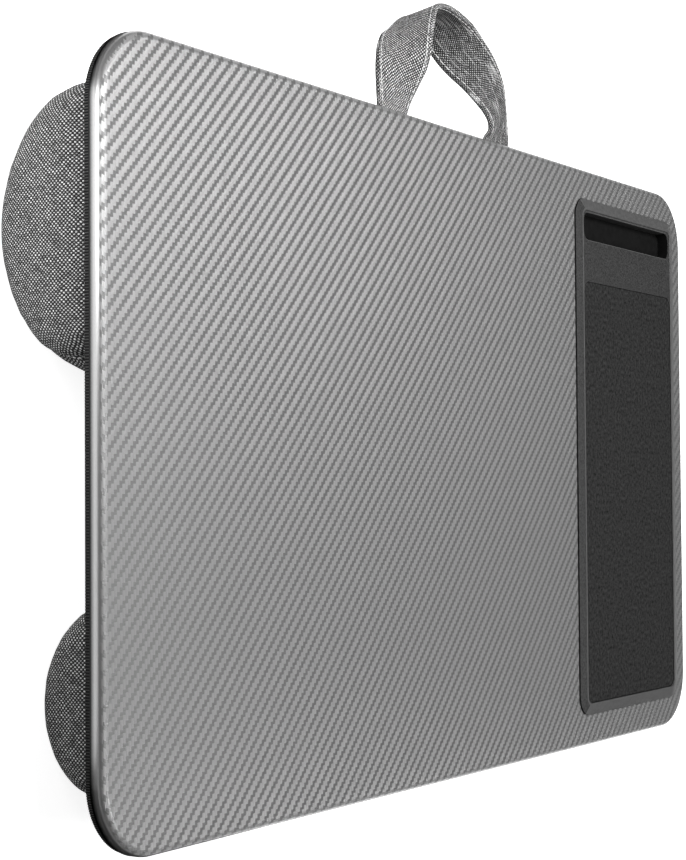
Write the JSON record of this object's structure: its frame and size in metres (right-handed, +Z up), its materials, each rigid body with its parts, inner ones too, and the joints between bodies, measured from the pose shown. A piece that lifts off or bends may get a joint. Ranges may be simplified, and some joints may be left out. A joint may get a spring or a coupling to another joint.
{
  "type": "lap tray with cushion",
  "caption": "Thin wrapped lap board with rounded corners, an inset mouse pad and phone slot, two cloth bolsters underneath and a twisted cloth carry strap at the rear edge.",
  "frame": {"origin": "middle of the part's box on the surface that the bolsters stand on", "axes": "+X to the user's right along the board, +Y to the rear edge with the strap, +Z up; the work surface tilts towards the user by 6.6 degrees"},
  "size_m": [0.535, 0.3658, 0.0748],
  "materials": {
    "core_board": "raw fibreboard",
    "twill_film": "satin silver film with a woven-twill print",
    "base_black": "black cloth-faced sheet",
    "binding_black": "ribbed black tape",
    "insert_black": "fine matt black moulding",
    "pad_cloth": "fine knitted cloth on foam",
    "clear_tape": "double-sided tape",
    "linen_heather": "heather grey plain-weave cloth",
    "loose_fill": "loose bead fill",
    "staple_steel": "bright wire"
  },
  "bodies": {
    "tray": {"top_board": "core_board", "top_film": "twill_film", "base_sheet": "base_black", "base_binding": "binding_black", "mouse_pad_tray": "insert_black", "tray_tape": "clear_tape", "mouse_pad": "pad_cloth", "pad_adhesive": "clear_tape", "strap_staples": "staple_steel", "strap_tail_left": "linen_heather", "strap_tail_right": "linen_heather", "rear_bolster_cover": "linen_heather", "rear_bolster_end_left": "linen_heather", "rear_bolster_end_right": "linen_heather", "rear_bolster_fill": "loose_fill", "front_bolster_cover": "linen_heather", "front_bolster_end_left": "linen_heather", "front_bolster_end_right": "linen_heather", "front_bolster_fill": "loose_fill"},
    "handle": {"handle_strap": "linen_heather"}
  },
  "joints": [
    {"name": "strap_swing", "type": "hinge", "parent": "tray", "child": "handle", "pos_m": [0, 0.12187, 0.0622], "axis": [1, 0, 0], "range_deg": [-52, 100]}
  ]
}
